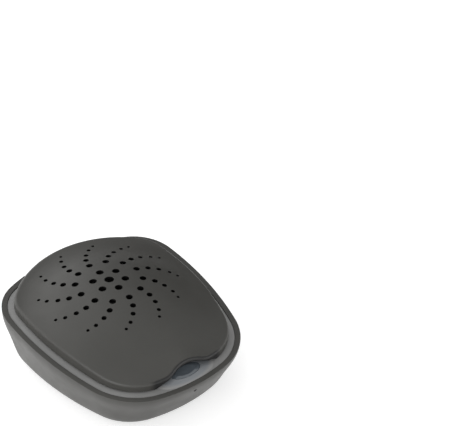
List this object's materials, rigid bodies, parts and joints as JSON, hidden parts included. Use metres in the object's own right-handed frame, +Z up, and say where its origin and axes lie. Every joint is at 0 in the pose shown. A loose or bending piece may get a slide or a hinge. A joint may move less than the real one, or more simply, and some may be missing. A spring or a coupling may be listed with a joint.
{
  "type": "hearing aid dryer",
  "caption": "Small wedge-shaped table dryer with a hinged, vented dome lid, start button, heated and fan-blown drying chamber, lamp and rear power inlet.",
  "frame": {"origin": "middle of the footprint, on the surface that the feet stand on", "axes": "+Z up, +Y to the back where the hinge and the power inlet are, +X to the right of someone facing the button"},
  "size_m": [0.0882, 0.099, 0.0406],
  "materials": {
    "charcoal_shell": "fine satin texture",
    "grey_frame": "semi-gloss",
    "smoky_key": "gloss",
    "lamp_glass": "clear",
    "ceramic": "glazed",
    "bright_sheet": "polished",
    "heater_metal": "plain",
    "black_parts": "plain",
    "plunger_plastic": "plain",
    "board_green": "coated",
    "clear_plastic": "clear tinted",
    "screw_steel": "plated",
    "magnet_plate": "nickel plated",
    "foot_rubber": "matt"
  },
  "bodies": {
    "base": {"base_shell": "charcoal_shell", "inner_frame": "grey_frame", "chamber_floor": "grey_frame", "lamp_tube": "lamp_glass", "lamp_caps": "ceramic", "lamp_reflector": "bright_sheet", "lamp_guard": "grey_frame", "heater_plate": "heater_metal", "heater_fins": "heater_metal", "temperature_sensor": "black_parts", "fan_housing": "black_parts", "main_board": "board_green", "board_chips": "black_parts", "board_capacitors": "bright_sheet", "board_coil": "black_parts", "main_board_screws": "screw_steel", "key_board": "board_green", "key_board_screws": "screw_steel", "key_switch": "black_parts", "status_light": "clear_plastic", "light_pipe": "clear_plastic", "lid_sensor": "black_parts", "power_board": "board_green", "power_socket": "screw_steel", "frame_magnets": "magnet_plate", "hinge_pin": "screw_steel", "case_screws": "screw_steel", "rubber_feet": "foot_rubber"},
    "lid": {"lid_shell": "charcoal_shell", "lid_liner": "black_parts", "liner_screws": "screw_steel", "lid_magnets": "magnet_plate"},
    "button": {"start_button": "smoky_key"},
    "plunger": {"switch_plunger": "plunger_plastic"},
    "impeller": {"fan_impeller": "black_parts", "fan_shaft": "screw_steel"}
  },
  "joints": [
    {"name": "lid_hinge", "type": "hinge", "parent": "base", "child": "lid", "pos_m": [0, 0.0441, 0.03384], "axis": [-1, 0, 0], "range_deg": [0, 95]},
    {"name": "button_press", "type": "slide", "parent": "base", "child": "button", "axis": [0, 0.1288, -0.9917], "range_m": [0, 0.0004], "stiffness_N_per_m": 1500},
    {"name": "plunger_press", "type": "slide", "parent": "base", "child": "plunger", "axis": [0, 0.1288, -0.9917], "range_m": [0, 0.0004], "stiffness_N_per_m": 0.036, "springref_m": -0.004},
    {"name": "fan_spin", "type": "hinge", "parent": "base", "child": "impeller", "pos_m": [0, 0.018, 0.0075], "axis": [0, 0, 1], "continuous": true}
  ],
  "couplings": [
    {"joint": "plunger_press", "follows": "button_press", "ratio": 1}
  ]
}
